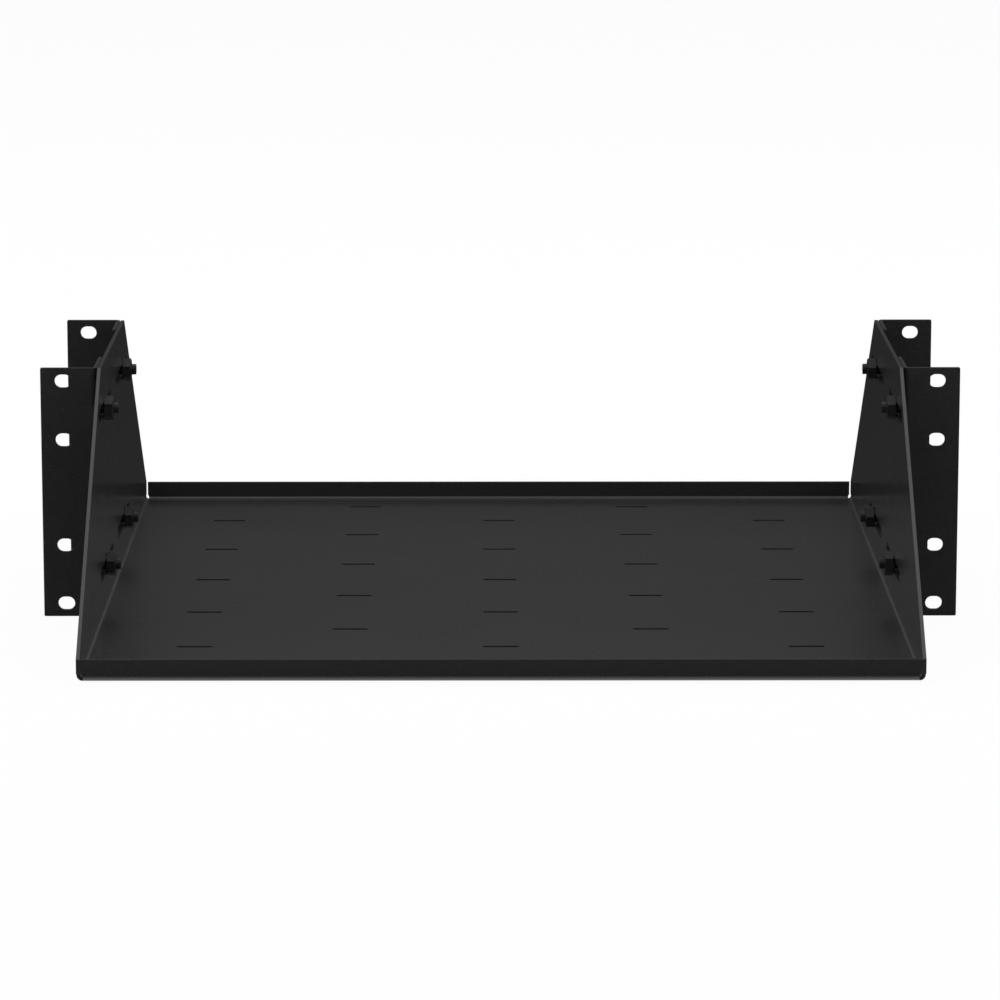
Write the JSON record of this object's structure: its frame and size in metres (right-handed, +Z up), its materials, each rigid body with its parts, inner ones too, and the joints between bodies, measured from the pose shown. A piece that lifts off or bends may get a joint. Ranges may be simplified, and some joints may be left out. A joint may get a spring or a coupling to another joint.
{
  "type": "rack shelf",
  "caption": "Fixed rack shelf: a slotted steel pan folded up into two sloped side walls, carried by L-shaped mounting brackets that shift along the walls.",
  "frame": {"origin": "middle of the pan in X and Y, level with the bottom edges of the brackets", "axes": "+X along the shelf's width, +Y from its front lip to its rear lip, +Z up"},
  "size_m": [0.4892, 0.4842, 0.1348],
  "materials": {
    "powder_coat": "finely textured black powder coat",
    "fastener": "black oxide"
  },
  "bodies": {
    "root": {"shelf_pan": "powder_coat", "front_left_bracket": "powder_coat", "front_right_bracket": "powder_coat", "rear_left_bracket": "powder_coat", "rear_right_bracket": "powder_coat", "front_left_upper_screw": "fastener", "front_left_lower_screw": "fastener", "front_right_upper_screw": "fastener", "front_right_lower_screw": "fastener", "rear_left_upper_screw": "fastener", "rear_left_lower_screw": "fastener", "rear_right_upper_screw": "fastener", "rear_right_lower_screw": "fastener", "front_left_upper_nut": "fastener", "front_left_lower_nut": "fastener", "front_right_upper_nut": "fastener", "front_right_lower_nut": "fastener", "rear_left_upper_nut": "fastener", "rear_left_lower_nut": "fastener", "rear_right_upper_nut": "fastener", "rear_right_lower_nut": "fastener"}
  },
  "joints": []
}
